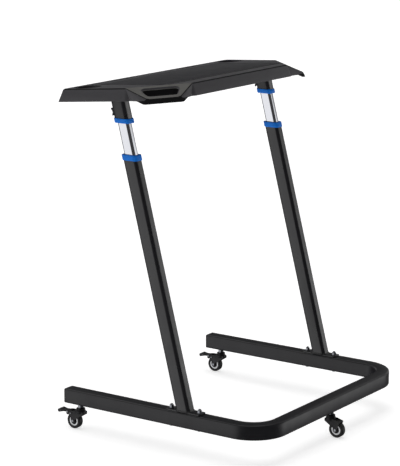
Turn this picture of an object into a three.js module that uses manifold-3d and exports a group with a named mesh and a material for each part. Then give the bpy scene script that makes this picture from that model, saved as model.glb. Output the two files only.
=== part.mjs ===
// Height-adjustable standing desk that rolls on castors, open below on the rider's side.
// A bent U of rectangular tube runs on three swivel castors. Two leaning legs telescope,
// and they carry a moulded tray with a carry handle in each corner away from the rider.
// Millimetres, +Z up. X runs across the desk and +Y points at the rider.

import * as THREE from 'three';
import Module from 'manifold-3d';
import { mergeVertices } from 'three/addons/utils/BufferGeometryUtils.js';
import { ConvexGeometry } from 'three/addons/geometries/ConvexGeometry.js';

const wasm = await Module();
wasm.setup();

// Shared clearances and finish of curves
const seatGap = 0.3; // between two pieces that seat on each other
const slideGap = 0.35; // round a tube that slides in its bush
const cutOver = 5; // how far a cutting tool overruns the piece
const cornerSteps = 2; // half the steps in a rounded corner
const plainSteps = 1; // the same for a corner that hardly shows
const roundSteps = 18; // steps round a wheel
const smallSteps = 10; // steps round a bolt

// Base: one tube bent into a U, open towards the rider
const baseWidth = 816;
const baseLength = 742;
const railUnderside = 82; // floor to the underside of the tube
const tubeWidth = 43;
const tubeHeight = 46;
const tubeWall = 1.8;
const tubeCorner = 5;
const bendRadius = 115; // outside of the bend
const bendSteps = 4; // half the steps in a bend
const railTop = railUnderside + tubeHeight;

// End caps
const capThickness = 3;
const capPlug = 20;

// Legs
const lean = THREE.MathUtils.degToRad(14.5); // from upright, towards the rider
const legFootSetback = 294; // front face of the base to the middle of a leg's foot
const legWidth = 36; // across the desk
const legDepth = 48; // square to the leg
const legWall = 1.6;
const legCorner = 10;
const legSpread = (baseWidth - tubeWidth) / 2;

// Foot plates and their bolts
const plateLength = 124;
const plateWidth = 36;
const plateThickness = 4;
const plateCorner = 6;
const boltReach = 51; // leg's middle to a bolt
const boltRadius = 4;
const boltHeadRadius = 7.2;
const boltHeadHeight = 5.3;
const nutRadius = 7.4;
const nutHeight = 8;
const nutFlangeRadius = 9;
const nutFlangeHeight = 1.6;
const threadEnd = 4; // bolt that stands out of its nut

// Collars at the two ends of the bright tube
const trayHeight = 1085; // middle of the tray's top face above the floor
const upperCollarDrop = 104; // tray's top to the upper collar's underside
const upperCollarHeight = 14;
const brightLength = 93; // bright tube that shows, measured upright
const lowerCollarHeight = 17;
const upperCollarBottom = trayHeight - upperCollarDrop;
const lowerCollarTop = upperCollarBottom - brightLength;
const collarProud = 2.6; // how far a collar stands out of its tube
const collarLip = 4; // collar that covers the tube's end
const collarRound = 1.6; // rounded edge of a collar
const lowerBush = 34; // bush inside the leg, below the collar
const upperBush = 14; // bush inside the sleeve, above the collar

// Bright inner tubes
const innerWidth = 26;
const innerDepth = 38;
const innerWall = 1.5;
const innerCorner = 8;
const innerTopDrop = 33; // tray's top to the end of the bright tube
const innerLength = 462; // measured upright
const innerTop = trayHeight - innerTopDrop;
const innerBottom = innerTop - innerLength;
const shoeHeight = 8;
const shoePlug = 18;

// Lock screws in the legs
const lockScrewDrop = 32; // below the lower collar's top
const lockScrewHeight = lowerCollarTop - lockScrewDrop;
const lockScrewRadius = 4;
const lockHeadRadius = 7;
const lockHeadHeight = 4;
const lockSocketRadius = 2.9;
const lockSocketDepth = 2.4;

// Wing screws in the upper sleeves
const wingScrewDrop = 66; // below the tray's top
const wingScrewHeight = trayHeight - wingScrewDrop;
const wingScrewRadius = 3;
const wingBossRadius = 7;
const wingBossHeight = 3;
const wingHubRadius = 5;
const wingHubLength = 6;
const wingSpan = 24;
const wingRise = 12;
const wingThickness = 3;

// Moulded tray, in its own frame: middle of the top face, tipped towards the rider
const trayForward = 8; // tray's middle ahead of the leg axis
const trayTilt = THREE.MathUtils.degToRad(4.3);
const trayOverhang = 52; // middle of a leg to the tray's end
const trayTaper = 26.5; // less on each side where the handle corners start
const cornerRun = 151; // width of a handle corner
const trayRearHalf = legSpread + trayOverhang;
const traySideHalf = trayRearHalf - trayTaper;
const trayFrontHalf = traySideHalf - cornerRun;
const trayDepth = 358;
const handleSetback = 138; // front edge to where a handle corner starts
const skirtDrop = 38;
const skirtFlare = 11;
const trayWall = 3.5;
const trayEdge = 3; // chamfer round the top face
const trayCorner = 10;
const traySteps = 3; // steps in a corner of the tray

// Handle corners: a ramp that falls away from the top face, with a hand hole
const rampReach = 60;
const rampFall = 32;
const rampHalf = 56; // half length of the ramp's outer edge
const rampCorner = 12;
const rampSteps = 2; // steps in its corners
const rampLip = 15; // height of the ramp's outer edge
const lipFlare = 6;
const shoulderHalf = 77; // where the skirt's lower edge turns down to the lip
const shoulderOut = 37;
const holeTopHalf = 65;
const holeBottomHalf = 45;
const holeStart = 10; // down the ramp from the top face
const holeEnd = 57;
const holeCorner = 13;
const holeLead = 4; // chamfer round the hole
const gripWall = 3;
const gripDrop = 34; // top face to the lower edge of the wall round the hole

// Slots, round recesses and the mat
const slotPast = 46; // how far the long slot runs past the front edge
const slotLength = 2 * (trayFrontHalf + slotPast);
const slotWidth = 11;
const slotDepth = 9;
const slotWall = 2.5;
const slotSetback = 58; // front edge to the long slot
const phoneSlotLength = 110;
const phoneSlotSpread = 175;
const phoneSlotSetback = 24; // rider's edge to the short slots
const recessRadius = 42;
const recessDepth = 12;
const recessSteps = 16;
const recessWall = 2.5;
const recessInset = 58; // tray's end to a recess
const recessSpread = trayRearHalf - recessInset;
const recessSetback = 56; // rider's edge to a recess
const matInset = 116; // tray's end to the mat
const matWidth = 2 * (trayRearHalf - matInset);
const matDepth = 236;
const matSetback = 70; // front edge to the mat
const matSunk = 1.5;
const matThickness = 1.8;
const matCorner = 14;

// Ribs and screw bosses under the tray
const ribThickness = 2.4;
const ribDrop = 15;
const crossRibSetback = 80;
const ribSpreads = [160];
const bossRadius = 7;
const bossHeight = 8;

// Top brackets, their screws and the cross member
const bracketWidth = 44;
const bracketDepth = 104;
const bracketThickness = 3;
const bracketCorner = 8;
const screwInset = 12;
const screwRadius = 2.4;
const screwBite = 6;
const screwHeadRadius = 4.6;
const screwHeadHeight = 2.8;
const beamDepth = 30;
const beamHeight = 16;
const beamWall = 1.5;
const beamCorner = 2.5;
const beamNotchGap = 1.5;

// Castors
const wheelRadius = 25;
const wheelWidth = 18;
const tyreThickness = 8.5;
const tyreRound = 2.5;
const castorTrail = 23;
const rearCastorSetback = 49; // open end of a rail to its castor's stem
const rimWall = 2;
const rimRing = 5;
const rimWidth = 16;
const webThickness = 4;
const wheelCoreRadius = 7.5;
const wheelCoreWidth = 19;
const axleRadius = 3;
const axleHeadRadius = 5;
const axleHeadHeight = 1.6;
const cheekGap = 20; // between the fork's cheeks
const cheekThickness = 2.6;
const axleBoss = 9;
const hoodGap = 2.5; // tyre to the fork's hood
const hoodThickness = 2.6;
const hoodSteps = 3; // half the steps round the hood
const swivelRadius = 16;
const swivelBottom = 52;
const swivelTop = 61;
const cheekNose = 15; // fork ahead of the stem
const raceRadius = 14;
const raceHeight = 7;
const stemRadius = 5;
const stemHeadRadius = 8;
const stemHeadHeight = 3;
const stemHexRadius = 10;
const stemTop = 16; // stem inside the rail
const weldNutRadius = 9.5;
const weldNutHeight = 8;

// Brakes on the two rear castors
const brakePivotReach = 44; // stem axis to the pedal's pin
const brakePivotHeight = 52;
const brakeEye = 4.5;
const brakePinRadius = 2;
const brakePinHead = 3.4;
const brakeCamReach = 2;
const brakeCamDrop = 5;
const brakeCamRadius = 5.5;
const pedalReach = 81; // stem axis to the pedal's tip
const pedalRise = 7;
const pedalThickness = 4.5;
const pedalTipRadius = 4.5;
const pedalTipWidth = 26;
const pedalTipLength = 18;
const pedalWidth = 19;
const pedalSideGap = 1; // fork's end to the pedal's wide tip

// Materials
function finish(color, roughness, metalness) {
  return new THREE.MeshStandardMaterial({ color, roughness, metalness });
}

const powderCoat = finish(0x232227, 0.5, 0.3);
const brightChrome = finish(0xe6e6ea, 0.12, 1);
const zincPlate = finish(0xb4b5b8, 0.35, 1);
const blueNylon = finish(0x1559b0, 0.42, 0);
const trayPlastic = finish(0x353338, 0.6, 0);
const matRubber = finish(0x2c2b2d, 0.85, 0);
const blackNylon = finish(0x141416, 0.5, 0);
const tyreRubber = finish(0x121213, 0.7, 0);
const rimPlastic = finish(0xa9abae, 0.5, 0);

// Solids: geometry to manifold and back
function signedVolume(positions, triangles) {
  const [a, b, c] = [new THREE.Vector3(), new THREE.Vector3(), new THREE.Vector3()];
  let volume = 0;
  for (let i = 0; i < triangles.length; i += 3) {
    a.fromArray(positions, 3 * triangles[i]);
    b.fromArray(positions, 3 * triangles[i + 1]);
    c.fromArray(positions, 3 * triangles[i + 2]);
    volume += a.dot(b.cross(c));
  }
  return volume;
}

function solid(geometry) {
  const bare = geometry.clone();
  bare.deleteAttribute('normal');
  bare.deleteAttribute('uv');
  const merged = mergeVertices(bare);
  const positions = merged.attributes.position.array;
  const corners = merged.index.array;
  const triangles = [];
  for (let i = 0; i < corners.length; i += 3) {
    const [p, q, r] = [corners[i], corners[i + 1], corners[i + 2]];
    if (p !== q && q !== r && r !== p) triangles.push(p, q, r);
  }
  if (signedVolume(positions, triangles) < 0) {
    for (let i = 0; i < triangles.length; i += 3) {
      [triangles[i], triangles[i + 1]] = [triangles[i + 1], triangles[i]];
    }
  }
  return new wasm.Manifold(new wasm.Mesh({
    numProp: 3,
    vertProperties: new Float32Array(positions),
    triVerts: new Uint32Array(triangles),
  }));
}

function geometryOf(manifold) {
  const { vertProperties, triVerts } = manifold.getMesh();
  const geometry = new THREE.BufferGeometry();
  geometry.setAttribute('position', new THREE.BufferAttribute(vertProperties, 3));
  geometry.setIndex(new THREE.BufferAttribute(triVerts, 1));
  geometry.computeVertexNormals();
  return geometry;
}

function joined(parts) {
  return parts.reduce((whole, part) => whole.add(part));
}

function piece(name, manifold, material) {
  const mesh = new THREE.Mesh(geometryOf(manifold), material);
  mesh.name = name;
  return mesh;
}

// Outlines
function roundedRectangle(width, depth, radius, Kind = THREE.Shape) {
  const [x, y] = [width / 2, depth / 2];
  const outline = new Kind();
  outline.moveTo(-x + radius, -y);
  outline.lineTo(x - radius, -y);
  outline.absarc(x - radius, -y + radius, radius, -Math.PI / 2, 0, false);
  outline.absarc(x - radius, y - radius, radius, 0, Math.PI / 2, false);
  outline.absarc(-x + radius, y - radius, radius, Math.PI / 2, Math.PI, false);
  outline.absarc(-x + radius, -y + radius, radius, Math.PI, 1.5 * Math.PI, false);
  return outline;
}

function tubeOutline(width, depth, radius, wall) {
  const outline = roundedRectangle(width, depth, radius);
  const bore = roundedRectangle(width - 2 * wall, depth - 2 * wall, Math.max(radius - wall, wall), THREE.Path);
  outline.holes.push(bore);
  return outline;
}

function polygonOutline(points) {
  return new THREE.Shape(points.map(([x, y]) => new THREE.Vector2(x, y)));
}

// A convex outline moved out by a distance (counter-clockwise corners)
function grownCorners(corners, distance) {
  return corners.map((corner, i) => {
    const before = corners[(i + corners.length - 1) % corners.length];
    const after = corners[(i + 1) % corners.length];
    const into = new THREE.Vector2(corner[0] - before[0], corner[1] - before[1]).normalize();
    const out = new THREE.Vector2(after[0] - corner[0], after[1] - corner[1]).normalize();
    const turn = into.cross(out);
    const shift = distance / turn;
    return [corner[0] + (into.x - out.x) * shift, corner[1] + (into.y - out.y) * shift];
  });
}

// The same outline with rounded corners, as a closed ring of points
function roundedRing(corners, distance, radius, steps) {
  const centres = grownCorners(corners, distance - radius);
  const ring = [];
  centres.forEach((centre, i) => {
    const before = centres[(i + centres.length - 1) % centres.length];
    const after = centres[(i + 1) % centres.length];
    const start = Math.atan2(centre[1] - before[1], centre[0] - before[0]) - Math.PI / 2;
    let end = Math.atan2(after[1] - centre[1], after[0] - centre[0]) - Math.PI / 2;
    if (end < start) end += 2 * Math.PI;
    for (let k = 0; k <= steps; k += 1) {
      const angle = start + (k / steps) * (end - start);
      ring.push([centre[0] + radius * Math.cos(angle), centre[1] + radius * Math.sin(angle)]);
    }
  });
  return ring;
}

// Basic solids
function prism(outline, bottom, top, steps = cornerSteps) {
  const geometry = new THREE.ExtrudeGeometry(outline, {
    depth: top - bottom, bevelEnabled: false, curveSegments: steps,
  });
  return geometry.translate(0, 0, bottom);
}

// A prism whose top and bottom edges are rounded
function softPrism(outline, bottom, top, radius, steps = cornerSteps, edgeSteps = 1) {
  const geometry = new THREE.ExtrudeGeometry(outline, {
    depth: top - bottom - 2 * radius,
    bevelThickness: radius,
    bevelSize: radius,
    bevelOffset: -radius,
    bevelSegments: edgeSteps,
    curveSegments: steps,
  });
  return geometry.translate(0, 0, bottom + radius);
}

function upright(radius, bottom, top, steps = smallSteps) {
  const geometry = new THREE.CylinderGeometry(radius, radius, top - bottom, steps);
  return geometry.rotateX(Math.PI / 2).translate(0, 0, (top + bottom) / 2);
}

function crossways(radius, width, y, z, steps = smallSteps) {
  const geometry = new THREE.CylinderGeometry(radius, radius, width, steps);
  return geometry.rotateZ(Math.PI / 2).translate(0, y, z);
}

function hexagon(radius, bottom, top) {
  return upright(radius, bottom, top, 6);
}

function block(width, depth, bottom, top, x = 0, y = 0) {
  return new THREE.BoxGeometry(width, depth, top - bottom).translate(x, y, (top + bottom) / 2);
}

// An outline in Y and Z, given as x and y, stood up and made as wide as asked
function sideways(outline, width, steps = cornerSteps) {
  const geometry = new THREE.ExtrudeGeometry(outline, {
    depth: width, bevelEnabled: false, curveSegments: steps,
  });
  const stand = new THREE.Matrix4().makeBasis(
    new THREE.Vector3(0, 1, 0), new THREE.Vector3(0, 0, 1), new THREE.Vector3(1, 0, 0),
  );
  return geometry.translate(0, 0, -width / 2).applyMatrix4(stand);
}

// The base

function uOutline(inset, endReach) {
  const outerHalf = baseWidth / 2 - inset;
  const innerHalf = baseWidth / 2 - tubeWidth + inset;
  const bend = baseWidth / 2 - bendRadius;
  const outerBend = bendRadius - inset;
  const innerBend = bendRadius - tubeWidth + inset;
  const outline = new THREE.Shape();
  outline.moveTo(-outerHalf, endReach);
  outline.lineTo(-outerHalf, bendRadius);
  outline.absarc(-bend, bendRadius, outerBend, Math.PI, 1.5 * Math.PI, false);
  outline.absarc(bend, bendRadius, outerBend, 1.5 * Math.PI, 2 * Math.PI, false);
  outline.lineTo(outerHalf, endReach);
  outline.lineTo(innerHalf, endReach);
  outline.absarc(bend, bendRadius, innerBend, 0, -Math.PI / 2, true);
  outline.absarc(-bend, bendRadius, innerBend, -Math.PI / 2, -Math.PI, true);
  outline.lineTo(-innerHalf, endReach);
  return outline;
}

const railEnd = baseLength - capThickness - seatGap;
const castorPlaces = {
  rear_right: { x: -legSpread, y: baseLength - rearCastorSetback, turn: 0, brake: true },
  rear_left: { x: legSpread, y: baseLength - rearCastorSetback, turn: 0, brake: true },
  front: { x: 0, y: tubeWidth / 2, turn: Math.PI, brake: false },
};

function baseFrame() {
  const reach = railEnd + tubeCorner + cutOver;
  const outside = solid(softPrism(uOutline(0, reach), railUnderside, railTop, tubeCorner, bendSteps, 2));
  const bore = solid(prism(
    uOutline(tubeWall, reach + cutOver), railUnderside + tubeWall, railTop - tubeWall, bendSteps,
  ));
  const endCut = solid(block(
    baseWidth + cutOver, baseLength, railUnderside - cutOver, railTop + cutOver,
    0, railEnd + baseLength / 2,
  ));
  const cuts = [bore, endCut];
  for (const side of [-1, 1]) {
    for (const end of [-1, 1]) {
      const hole = upright(boltRadius + seatGap, railUnderside - cutOver, railTop + cutOver);
      cuts.push(solid(hole.translate(side * legSpread, legFootSetback + end * boltReach, 0)));
    }
  }
  const frame = cuts.reduce((whole, cut) => whole.subtract(cut), outside);
  const nuts = [];
  const stemHoles = [];
  const nutTop = railUnderside + tubeWall + weldNutHeight;
  for (const { x, y } of Object.values(castorPlaces)) {
    const nut = hexagon(weldNutRadius, railUnderside + tubeWall / 2, nutTop);
    const hole = upright(stemRadius + seatGap, railUnderside - cutOver, nutTop + cutOver);
    nuts.push(solid(nut.translate(x, y, 0)));
    stemHoles.push(solid(hole.translate(x, y, 0)));
  }
  return frame.add(joined(nuts)).subtract(joined(stemHoles));
}

function endCap() {
  const lay = new THREE.Matrix4().makeRotationX(Math.PI / 2);
  const cover = softPrism(
    roundedRectangle(tubeWidth, tubeHeight, tubeCorner), -capThickness, 0, capThickness / 3,
  );
  const slack = 2 * (tubeWall + seatGap);
  const plug = prism(
    roundedRectangle(tubeWidth - slack, tubeHeight - slack, tubeCorner - tubeWall),
    -seatGap, capPlug, plainSteps,
  );
  return joined([cover, plug].map((geometry) => solid(geometry.applyMatrix4(lay))));
}

// The legs, each in a frame at the middle of its foot on top of the rail

const leanShear = new THREE.Matrix4().set(
  1, 0, 0, 0,
  0, 1, Math.tan(lean), 0,
  0, 0, 1, 0,
  0, 0, 0, 1,
);
const levelDepth = (depth) => depth / Math.cos(lean); // a leaning tube cut level

function leaning(geometry) {
  return geometry.applyMatrix4(leanShear);
}

function legTube(width, depth, radius, wall, bottom, top) {
  return solid(leaning(prism(tubeOutline(width, levelDepth(depth), radius, wall), bottom, top)));
}

function legBar(width, depth, radius, bottom, top) {
  return solid(leaning(prism(roundedRectangle(width, levelDepth(depth), radius), bottom, top)));
}

const footLevel = plateThickness + 2 * seatGap;
const footEnds = { front: -1, rear: 1 };
const collarBottom = lowerCollarTop - lowerCollarHeight - railTop;
const collarTop = lowerCollarTop - railTop;
const legTop = collarTop - collarLip;
const raisedBottom = upperCollarBottom - railTop;
const raisedTop = raisedBottom + upperCollarHeight;
const sleeveBottom = raisedBottom + collarLip;
const legBoreWidth = legWidth - 2 * legWall;
const legBoreDepth = legDepth - 2 * legWall;
const legBoreCorner = legCorner - legWall;

// Turns a tool along Z to lie square to the leg's rider-side face, at a height on the leg's axis
function squareTo(height) {
  const turn = new THREE.Matrix4().makeRotationX(-(Math.PI / 2 + lean));
  turn.setPosition(0, height * Math.tan(lean), height);
  return turn;
}

function crossHole(radius, height) {
  return solid(upright(radius, 0, legDepth).applyMatrix4(squareTo(height)));
}

function footBolt() {
  const headTop = -tubeHeight - seatGap;
  const shankTop = footLevel + nutHeight + threadEnd;
  const head = solid(hexagon(boltHeadRadius, headTop - boltHeadHeight, headTop));
  return head.add(solid(upright(boltRadius, headTop - boltHeadHeight / 2, shankTop)));
}

function footNut() {
  const flange = solid(upright(nutFlangeRadius, footLevel, footLevel + nutFlangeHeight));
  const hex = solid(hexagon(nutRadius, footLevel + nutFlangeHeight / 2, footLevel + nutHeight));
  return flange.add(hex).subtract(solid(upright(boltRadius + seatGap, 0, footLevel + nutHeight + cutOver)));
}

// The lower leg is welded to its foot plate
function lowerLeg() {
  const plate = solid(prism(
    roundedRectangle(plateWidth, plateLength, plateCorner), seatGap, seatGap + plateThickness,
  ));
  const holes = Object.values(footEnds).map((end) => solid(
    upright(boltRadius + seatGap, -cutOver, plateThickness + cutOver).translate(0, end * boltReach, 0),
  ));
  const tube = legTube(legWidth, legDepth, legCorner, legWall, seatGap + plateThickness / 2, legTop);
  return tube.add(plate)
    .subtract(joined(holes))
    .subtract(crossHole(lockScrewRadius + seatGap, lockScrewHeight - railTop));
}

// A collar: a rounded band outside the tube's end, with a bush inside it
function collar(bottom, top, tubeFrom, tubeTo, bushFrom, bushTo) {
  const band = solid(leaning(softPrism(
    roundedRectangle(
      legWidth + 2 * collarProud, levelDepth(legDepth + 2 * collarProud), legCorner + collarProud,
    ),
    bottom, top, collarRound,
  )));
  const seat = legBar(
    legWidth + 2 * seatGap, legDepth + 2 * seatGap, legCorner + seatGap, tubeFrom, tubeTo,
  );
  const bush = legBar(
    legBoreWidth - 2 * seatGap, legBoreDepth - 2 * seatGap, legBoreCorner, bushFrom, bushTo,
  );
  const bore = legBar(
    innerWidth + 2 * slideGap, innerDepth + 2 * slideGap, innerCorner + slideGap,
    Math.min(bottom, bushFrom) - cutOver, Math.max(top, bushTo) + cutOver,
  );
  return band.subtract(seat).add(bush).subtract(bore);
}

function lowerCollar() {
  const whole = collar(
    collarBottom, collarTop,
    collarBottom - cutOver, legTop + seatGap,
    collarBottom - lowerBush, legTop + collarLip / 2,
  );
  return whole.subtract(crossHole(lockScrewRadius + seatGap, lockScrewHeight - railTop));
}

function upperCollar() {
  return collar(
    raisedBottom, raisedTop,
    sleeveBottom - seatGap, raisedTop + cutOver,
    sleeveBottom - collarLip / 2, raisedTop + upperBush,
  );
}

function innerTube() {
  return legTube(innerWidth, innerDepth, innerCorner, innerWall, innerBottom - railTop, innerTop - railTop);
}

function guideShoe() {
  const top = innerBottom - railTop - seatGap;
  const shoe = legBar(
    legBoreWidth - 2 * slideGap, legBoreDepth - 2 * slideGap, legBoreCorner, top - shoeHeight, top,
  );
  const slack = 2 * (innerWall + seatGap);
  const plug = legBar(
    innerWidth - slack, innerDepth - slack, innerCorner - innerWall, top - shoeHeight / 2, top + shoePlug,
  );
  return shoe.add(plug);
}

function lockScrew() {
  const headBottom = legDepth / 2 + seatGap;
  const shank = solid(upright(lockScrewRadius, innerDepth / 2 + seatGap, headBottom + lockHeadHeight / 2));
  const head = solid(softPrism(
    new THREE.Shape().absarc(0, 0, lockHeadRadius, 0, 2 * Math.PI, false),
    headBottom, headBottom + lockHeadHeight, lockHeadHeight / 3, smallSteps / 2,
  ));
  const socket = solid(hexagon(
    lockSocketRadius, headBottom + lockHeadHeight - lockSocketDepth, headBottom + lockHeadHeight + cutOver,
  ));
  return shank.add(head).subtract(socket);
}

function wingScrew() {
  const hubBottom = legDepth / 2 + wingBossHeight + seatGap;
  const shank = solid(upright(wingScrewRadius, innerDepth / 2 + seatGap, hubBottom + wingHubLength / 2));
  const hub = solid(upright(wingHubRadius, hubBottom, hubBottom + wingHubLength));
  const wings = [-1, 1].map((end) => {
    const wing = new THREE.Shape();
    wing.moveTo(0, hubBottom + wingHubLength / 3);
    wing.lineTo(end * wingHubRadius, hubBottom + wingHubLength / 3);
    wing.lineTo(end * wingSpan / 2, hubBottom + wingRise * 0.6);
    wing.lineTo(end * wingSpan / 2, hubBottom + wingRise);
    wing.lineTo(end * wingHubRadius, hubBottom + wingRise * 0.85);
    wing.lineTo(0, hubBottom + wingHubLength);
    return solid(sideways(wing, wingThickness));
  });
  return joined([shank, hub, ...wings]);
}

// The tray, in its own frame

const trayBack = trayDepth / 2;
const rampSlope = rampFall / (rampReach + trayEdge);
const rampAngle = Math.atan(rampSlope);
const handleStart = -trayBack + handleSetback;
const trayCorners = [
  [-trayFrontHalf, -trayBack],
  [trayFrontHalf, -trayBack],
  [traySideHalf, handleStart],
  [trayRearHalf, trayBack],
  [-trayRearHalf, trayBack],
  [-traySideHalf, handleStart],
];
const trayStack = trayWall + bossHeight + 2 * seatGap + bracketThickness;
const trayAxisY = Math.tan(lean) * (trayHeight - railTop) + legFootSetback;
const trayPlace = new THREE.Vector3(0, trayAxisY - trayForward, trayHeight);

function trayFrame() {
  const frame = new THREE.Matrix4().makeRotationX(-trayTilt);
  return frame.setPosition(trayPlace);
}

function hull(points) {
  return solid(new ConvexGeometry(points.map(([x, y, z]) => new THREE.Vector3(x, y, z))));
}

function trayHull(shrink, reach) {
  const rings = [
    [-trayEdge - shrink, -shrink],
    [-shrink, -trayEdge - shrink],
    [skirtFlare * (skirtDrop + reach) / skirtDrop - shrink, -skirtDrop - reach],
  ];
  return hull(rings.flatMap(([grow, z]) => roundedRing(trayCorners, grow, trayCorner, traySteps)
    .map(([x, y]) => [x, y, z])));
}

// One handle corner's own frame: along the corner, out of the tray, and up
function handleAxes(side) {
  const start = new THREE.Vector3(side * traySideHalf, handleStart, 0);
  const end = new THREE.Vector3(side * trayFrontHalf, -trayBack, 0);
  const along = end.clone().sub(start).normalize();
  const out = new THREE.Vector3(side * -along.y, -Math.abs(along.x), 0);
  out.x = side * Math.abs(along.y);
  return { middle: start.clone().add(end).multiplyScalar(0.5), half: start.distanceTo(end) / 2, along, out };
}

// The ramp's body down to the skirt's edge, and the lip that hangs below it
function rampHull(side, shrink, reach) {
  const { middle, half, along, out } = handleAxes(side);
  const at = (t, n, z) => {
    const p = middle.clone().addScaledVector(along, t).addScaledVector(out, n);
    return [p.x, p.y, z];
  };
  const topAt = (n) => -rampSlope * (n + trayEdge) - shrink * Math.hypot(1, rampSlope);
  const inner = shrink > 0 ? -trayEdge - 2 * trayWall : -trayEdge;
  const lipRing = (flare, level) => [-1, 1].flatMap((end) => {
    const centre = rampHalf + flare - shrink - rampCorner;
    return Array.from({ length: rampSteps + 1 }, (_, k) => {
      const angle = (k / rampSteps) * (Math.PI / 2);
      const n = rampReach + flare - shrink - rampCorner + rampCorner * Math.cos(angle);
      return at(end * (centre + rampCorner * Math.sin(angle)), n, level(n));
    });
  });
  const shoulder = (z) => [-1, 1].map((end) => at(end * (shoulderHalf - shrink), shoulderOut, z));
  const flareAt = (z) => lipFlare * (-z - rampFall) / rampLip;
  const edge = -skirtDrop - reach;
  const bottom = -rampFall - rampLip - reach;
  const fold = lipRing(0, topAt);
  const body = hull([
    ...[-1, 1].flatMap((end) => [
      at(end * (half - shrink), inner, Math.min(topAt(inner), -shrink)),
      at(end * (half - shrink), inner, edge),
    ]),
    ...shoulder(edge),
    ...fold,
    ...lipRing(flareAt(edge), () => edge),
  ]);
  return body.add(hull([...shoulder(edge), ...fold, ...lipRing(flareAt(bottom), () => bottom)]));
}

// The hand hole's outline on the ramp: along it and down it
function holeRing(grow) {
  const corners = [
    [-holeBottomHalf, -holeEnd],
    [holeBottomHalf, -holeEnd],
    [holeTopHalf, -holeStart],
    [-holeTopHalf, -holeStart],
  ];
  return roundedRing(corners, grow, holeCorner + grow, traySteps);
}

// Lays that outline on the ramp's place, at a slope of its own
function onRamp(side, slope) {
  const { middle, along, out } = handleAxes(side);
  const x = side < 0 ? along : along.clone().negate();
  const y = out.clone().multiplyScalar(-Math.cos(slope)).setZ(Math.sin(slope));
  const z = x.clone().cross(y);
  return new THREE.Matrix4().makeBasis(x, y, z).setPosition(middle.clone().addScaledVector(out, -trayEdge));
}

// Straight down through the ramp
function holeShaft(side, grow, bottom, top) {
  const outline = polygonOutline(holeRing(grow).map(([x, y]) => [x, y * Math.cos(rampAngle)]));
  return solid(prism(outline, bottom, top).applyMatrix4(onRamp(side, 0)));
}

// The chamfer round its mouth
function holeFunnel(side) {
  const points = [[0, cutOver], [0, 0], [-holeLead, -holeLead]].flatMap(
    ([grow, z]) => holeRing(grow).map(([x, y]) => [x, y, z]),
  );
  return solid(geometryOf(hull(points)).applyMatrix4(onRamp(side, rampAngle)));
}

const longSlot = { x: 0, y: -trayBack + slotSetback, length: slotLength };
const phoneSlots = [-1, 1].map((side) => (
  { x: side * phoneSlotSpread, y: trayBack - phoneSlotSetback, length: phoneSlotLength }
));
const slots = [longSlot, ...phoneSlots];
const recesses = [-1, 1].map((side) => ({ x: side * recessSpread, y: trayBack - recessSetback }));

function slotBar({ x, y, length }, grow, bottom, top) {
  const outline = roundedRectangle(length + 2 * grow, slotWidth + 2 * grow, slotWidth / 2 + grow);
  return solid(prism(outline, bottom, top, plainSteps).translate(x, y, 0));
}

function recessDisc({ x, y }, grow, bottom, top) {
  return solid(upright(recessRadius + grow, bottom, top, recessSteps).translate(x, y, 0));
}

// Where the leg's axis meets a level below the tray's top face
function legAxisUnderTray(drop) {
  const ahead = trayForward * Math.cos(trayTilt);
  const above = trayForward * Math.sin(trayTilt);
  return ahead - (drop + above) * Math.tan(lean - trayTilt);
}

const bracketLevel = trayWall + bossHeight + seatGap;
const bracketY = legAxisUnderTray(bracketLevel);
const screwReach = bracketDepth / 2 - screwInset;
const screwPlaces = [-1, 1].flatMap((side) => Object.values(footEnds).map((end) => (
  { x: side * legSpread, y: bracketY + end * screwReach }
)));

function tray() {
  const outside = joined([trayHull(0, 0), rampHull(-1, 0, 0), rampHull(1, 0, 0)]);
  const inside = joined([
    trayHull(trayWall, cutOver),
    rampHull(-1, trayWall, cutOver),
    rampHull(1, trayWall, cutOver),
  ]);
  const ribs = [-1, 1].map((side) => block(
    2 * trayRearHalf, ribThickness, -trayWall - ribDrop, -trayWall / 2, 0, side * crossRibSetback,
  ));
  for (const spread of ribSpreads) {
    for (const side of [-1, 1]) {
      ribs.push(block(ribThickness, trayDepth, -trayWall - ribDrop, -trayWall / 2, side * spread, 0));
    }
  }
  const grips = [-1, 1].map((side) => (
    holeShaft(side, gripWall - holeLead, -gripDrop, 0).intersect(rampHull(side, trayWall / 2, 0))
  ));
  const extras = [
    ...ribs.map((rib) => solid(rib).intersect(trayHull(trayWall / 2, 0))),
    ...grips,
    ...slots.map((slot) => slotBar(slot, slotWall, -slotDepth - slotWall, -trayWall / 2)),
    ...recesses.map((place) => recessDisc(place, recessWall, -recessDepth - recessWall, -trayWall / 2)),
    ...screwPlaces.map(({ x, y }) => solid(
      hexagon(bossRadius, -trayWall - bossHeight, -trayWall / 2).translate(x, y, 0),
    )),
  ];
  const cuts = [
    ...slots.map((slot) => slotBar(slot, 0, -slotDepth, cutOver)),
    ...recesses.map((place) => recessDisc(place, 0, -recessDepth, cutOver)),
    ...[-1, 1].flatMap((side) => [
      holeShaft(side, -holeLead, -rampFall - rampLip - cutOver, cutOver),
      holeFunnel(side),
    ]),
    ...screwPlaces.map(({ x, y }) => solid(
      upright(screwRadius + seatGap, -trayWall - bossHeight - cutOver, -bracketLevel + screwBite + seatGap)
        .translate(x, y, 0),
    )),
    matBlock(seatGap, -matSunk, cutOver),
    beamNotch(),
  ];
  return joined([outside.subtract(inside), ...extras]).subtract(joined(cuts));
}

function matBlock(grow, bottom, top) {
  const outline = roundedRectangle(matWidth + 2 * grow, matDepth + 2 * grow, matCorner + grow);
  return solid(prism(outline, bottom, top, plainSteps).translate(0, -trayBack + matSetback + matDepth / 2, 0));
}

function mat() {
  return matBlock(0, -matSunk + seatGap, -matSunk + seatGap + matThickness);
}

// Brackets, cross member and screws under the tray

const beamY = legAxisUnderTray(trayStack + beamHeight / 2);
const beamHalf = legSpread - legWidth / 2 - seatGap;

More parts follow.
